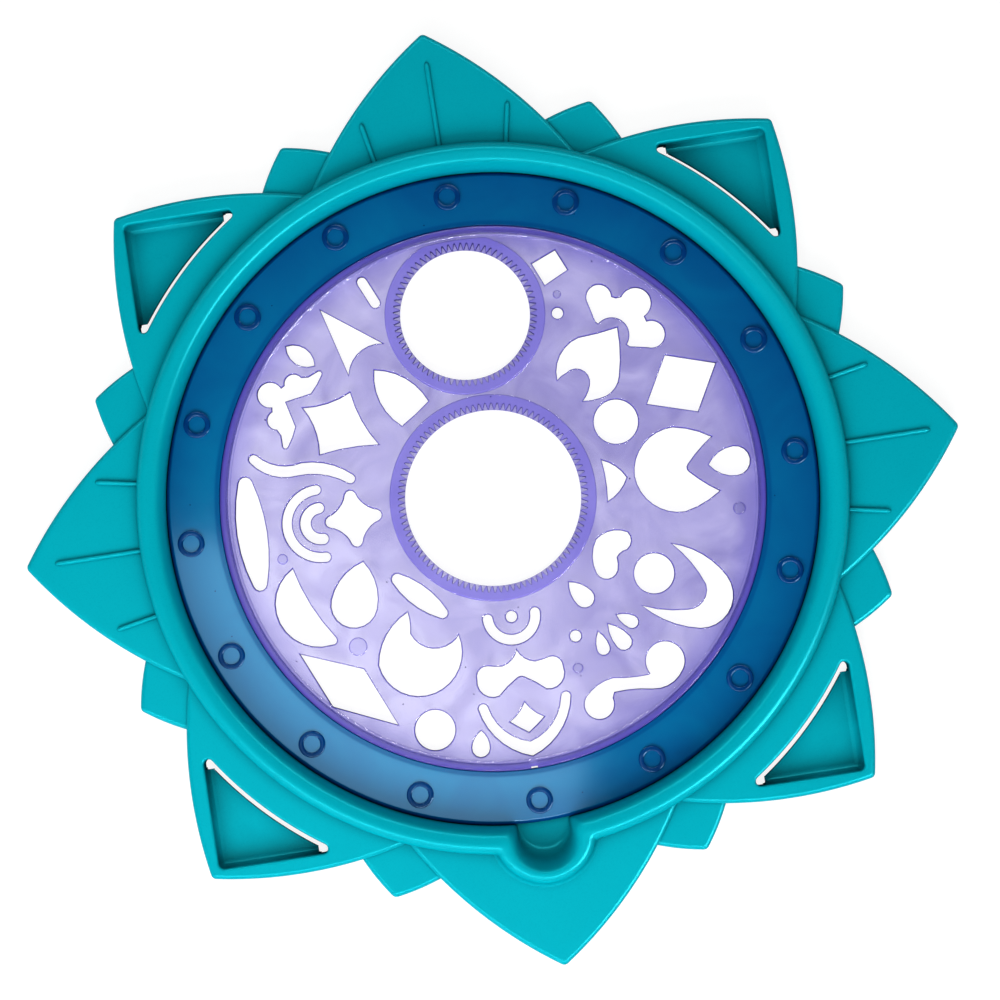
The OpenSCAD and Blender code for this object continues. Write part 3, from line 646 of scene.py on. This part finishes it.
plate = Moulding()
top_holes, low_holes = [], []
largest_cutout = 34
for loop in level_loops("stencil_plate", plate_low):
    if np.ptp(np.array(loop), axis=0).max() < largest_cutout:
        side_rows = [grown(loop, out, z) for out, z in
                     ((0.36, plate_top), (0.3, plate_top), (0.2, plate_top - 0.04), (0.07, plate_top - 0.12),
                      (0, plate_top - 0.26), (-0.06, plate_low + 0.2), (0.02, plate_low + 0.05), (0.14, plate_low),
                      (0.22, plate_low))]
        plate.wrap(side_rows, [0, 0.05, 0.45, 0.8, 0.9, 0.9, 0.7, 0.2, 0])
        top_holes.append(side_rows[0])
        low_holes.append(side_rows[-1])
shelf_top, shelf_thick = plate_low + 0.5, 0.1
collar_width, collar_thick = 2.3, 0.45


def collar_row(middle, radius, limit, z):
    """Circle round a geared hole, flattened where it would pass a limit about the plate's middle."""
    shares = [(x, y, min(1, limit / math.hypot(x, y))) for x, y in circle(0, middle, radius, 240)]
    return at([(x * k, y * k) for x, y, k in shares], z)


for middle, biggest in ((0, 27), (51.3, 21)):
    for loop in level_loops("stencil_plate", collar_top):
        reaches = [math.dist(p, (0, middle)) for p in loop]
        if max(reaches) < biggest:
            gear, root, tooth_tip = loop, max(reaches), min(reaches)
    teeth = [grown(gear, out, z) for out, z in
             ((0.1, collar_top), (0.08, collar_top), (0.04, collar_top - 0.03), (0, collar_top - 0.1),
              (-0.06, shelf_top + 0.02), (-0.06, shelf_top))]
    plate.wrap(teeth, [0.45, 0.55, 0.75, 0.85, 0.85, 0.1])
    shelf = [at(circle(0, middle, tooth_tip + out, 240), z) for out, z in
             ((-0.09, shelf_top), (-0.11, shelf_top), (-0.16, shelf_top - 0.06), (-0.16, plate_low + 0.1),
              (-0.1, plate_low), (0.02, plate_low))]
    plate.wrap(shelf, [shelf_thick, shelf_thick, 0.8, 0.8, 0, 0])
    plate.flat(teeth[-1], shelf[0], thick=shelf_thick)
    low_holes.append(shelf[-1])
    collar = [collar_row(middle, root + collar_width + out, lip_inner - 0.45 + out, z) for out, z in
              ((0.25, plate_top), (0.15, plate_top), (0.05, plate_top + 0.05), (0, plate_top + 0.15),
               (0, collar_top - 0.3), (-0.08, collar_top - 0.1), (-0.28, collar_top), (-0.4, collar_top))]
    plate.wrap(collar, [0, 0.1, 0.5, 0.65, 0.6, 0.5, collar_thick, collar_thick])
    plate.flat(collar[-1], teeth[0], thick=collar_thick)
    top_holes.append(collar[0])

# Radius, height, radius at the notch and how thick the plastic looks, over the lip from the top face to the low one.
lip_section = ((lip_inner - 0.18, plate_top, None, 0), (lip_inner - 0.12, plate_top, None, 0.03),
               (lip_inner - 0.03, plate_top + 0.05, None, 0.1), (lip_inner, plate_top + 0.2, None, 0.12),
               (lip_inner, lip_top - 0.4, None, 0.1), (lip_inner + 0.12, lip_top - 0.12, None, 0),
               (lip_inner + 0.4, lip_top, None, -0.02), (lip_outer - 0.5, lip_top, lip_outer - 0.55, 0.42),
               (lip_outer - 0.05, lip_top - 0.12, lip_outer - 0.35, 0.62),
               (lip_outer + 0.2, lip_top - 0.4, lip_outer - 0.3, 0.66),
               (lip_outer + 0.25, lip_top - 0.7, lip_outer - 0.3, 0.66),
               (lip_outer + 0.25, ring_top - 0.2, lip_outer - 0.3, 0.6),
               (lip_outer, ring_top - 0.45, lip_outer - 0.3, 0.5), (lip_outer, lip_low + 0.15, lip_outer - 0.3, 0.45),
               (lip_outer - 0.15, lip_low, lip_outer - 0.4, 0.4), (plate_outer, lip_low, None, 0.1),
               (plate_outer, plate_low + 0.2, None, 0.1), (plate_outer - 0.2, plate_low, None, 0.1),
               (plate_outer - 0.3, plate_low, None, 0))
lip_rows = [hoop(*spot[:3]) for spot in lip_section]
plate.wrap(lip_rows, [spot[3] for spot in lip_section])

# Ejector pin marks: low round pads on the top face, with frosted tops.
pin_foot_thick, pin_top_thick = -0.1, -0.2
for x, y, r in ((66.8, -13.2, 1.7), (-43, -35, 2.5), (-60, -8, 1.4), (26, 53, 1.1), (16, -50, 1.4)):
    pin = [at(circle(x, y, r + out, 36), plate_top + z) for out, z in
           ((0.06, -0.02), (0, 0.05), (-0.1, 0.12), (-0.25, 0.14), (-0.35, 0.14))]
    plate.wrap(pin, [pin_foot_thick, 0.7, 0.2, pin_top_thick, pin_top_thick])
    plate.flat(pin[0], thick=pin_foot_thick)
    plate.flat(pin[-1], thick=pin_top_thick)
plate.flat(lip_rows[0], *top_holes)
plate.flat(lip_rows[-1], *low_holes)
stencil = plate.piece("stencil_plate_moulding", purple)
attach(stencil, "plate")
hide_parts("stencil_plate")

# Stage: a white floor that keeps the object's shadow, a pale surround, a key lamp, an overhead box and three glints.
# The camera looks almost straight down, rolled so that the scoop points a little right of the image's foot.


def seen_rays(tree):
    """1 for the rays that look at something, straight, in a reflection or through plastic, and 0 for the rest."""
    rays = add(tree, "ShaderNodeLightPath").outputs
    seen = add(tree, "ShaderNodeMath", {0: rays["Is Camera Ray"], 1: rays["Is Glossy Ray"]}, operation="MAXIMUM")
    return add(tree, "ShaderNodeMath", {0: seen.outputs[0], 1: rays["Is Transmission Ray"]}, operation="MAXIMUM")


floor_white = bpy.data.materials.new("white floor")
floor_white.use_nodes = True
tree = floor_white.node_tree
share = add(tree, "ShaderNodeMath", {0: seen_rays(tree).outputs[0], 1: 0.8}, operation="MULTIPLY")
paper = add(tree, "ShaderNodeBsdfDiffuse", {"Color": (1, 1, 1, 1)})
glow = add(tree, "ShaderNodeEmission", {"Color": (1, 1, 1, 1), "Strength": 1.1})
mixed = add(tree, "ShaderNodeMixShader", {0: share.outputs[0], 1: paper.outputs[0], 2: glow.outputs[0]})
tree.links.new(mixed.outputs[0], tree.nodes["Material Output"].inputs["Surface"])
ground = bpy.data.meshes.new("floor")
ground.from_pydata([(-3, -3, 0), (3, -3, 0), (3, 3, 0), (-3, 3, 0)], [], [(0, 1, 2, 3)])
ground.materials.append(floor_white)
floor = bpy.data.objects.new("floor", ground)
bpy.context.scene.collection.objects.link(floor)

world = bpy.data.worlds.new("pale surround")
bpy.context.scene.world = world
world.use_nodes = True
tree = world.node_tree
height = add(tree, "ShaderNodeSeparateXYZ", {0: add(tree, "ShaderNodeTexCoord").outputs["Generated"]}).outputs["Z"]
dark_above = add(tree, "ShaderNodeMapRange", {"Value": height, "From Min": 0.3, "From Max": 0.85, "To Min": 1,
                                              "To Max": 0.08}).outputs[0]
level = add(tree, "ShaderNodeMapRange", {"Value": seen_rays(tree).outputs[0], "To Min": 0.36, "To Max": dark_above})
tree.links.new(level.outputs[0], tree.nodes["Background"].inputs["Strength"])
tree.nodes["Background"].inputs["Color"].default_value = (1, 1, 1, 1)

roll = math.radians(8.75)
right, up = Vector((math.cos(roll), -math.sin(roll), 0)), Vector((math.sin(roll), math.cos(roll), 0))


def facing(place, aim):
    """Placed so that local -Z looks at aim and the local X axis lies along the image's width."""
    back = (place - aim).normalized()
    across = up.cross(back).normalized()
    return Matrix.Translation(place) @ Matrix((across, back.cross(across), back)).transposed().to_4x4()


def softbox(name, place, aim, width, height, radiance):
    """Area lamp of a given radiance."""
    lamp = bpy.data.lights.new(name, "AREA")
    lamp.shape, lamp.size, lamp.size_y = "RECTANGLE", width, height
    lamp.energy = radiance * math.pi * width * height
    obj = bpy.data.objects.new(name, lamp)
    obj.matrix_world = facing(place, aim)
    bpy.context.scene.collection.objects.link(obj)
    return obj


middle = Vector((0, 0, 0.005))
softbox("key from the front", up * -0.5 - right * 0.08 + Vector((0, 0, 0.43)), middle, 0.7, 0.35, 5.5)
softbox("front glint", up * -0.6 + right * 0.15 + Vector((0, 0, 0.85)), middle, 1.5, 0.12, 50).visible_diffuse = False
softbox("back glint", up * 0.62 + Vector((0, 0, 0.85)), middle, 1.5, 0.1, 42).visible_diffuse = False
softbox("side glint", up * -0.4 + right * 0.55 + Vector((0, 0, 0.75)), middle, 0.45, 0.3, 60).visible_diffuse = False
overhead = right * -0.175 + up * -0.19
softbox("overhead box", overhead + Vector((0, 0, 1)), overhead, 0.45, 0.42, 4.2)

aim = right * 1.9 * mm - up * 0.75 * mm + Vector((0, 0, 0.005))
tilt = math.radians(2.5)
distance, view_width, sensor = 0.9, 0.2755, 36
view = bpy.data.cameras.new("camera")
view.sensor_width = sensor
view.lens = sensor * distance / view_width
camera = bpy.data.objects.new("camera", view)
camera.matrix_world = facing(aim + distance * (Vector((0, 0, 1)) * math.cos(tilt) - up * math.sin(tilt)), aim)
bpy.context.scene.collection.objects.link(camera)
bpy.context.scene.camera = camera
bpy.context.scene.view_settings.view_transform = "Standard"
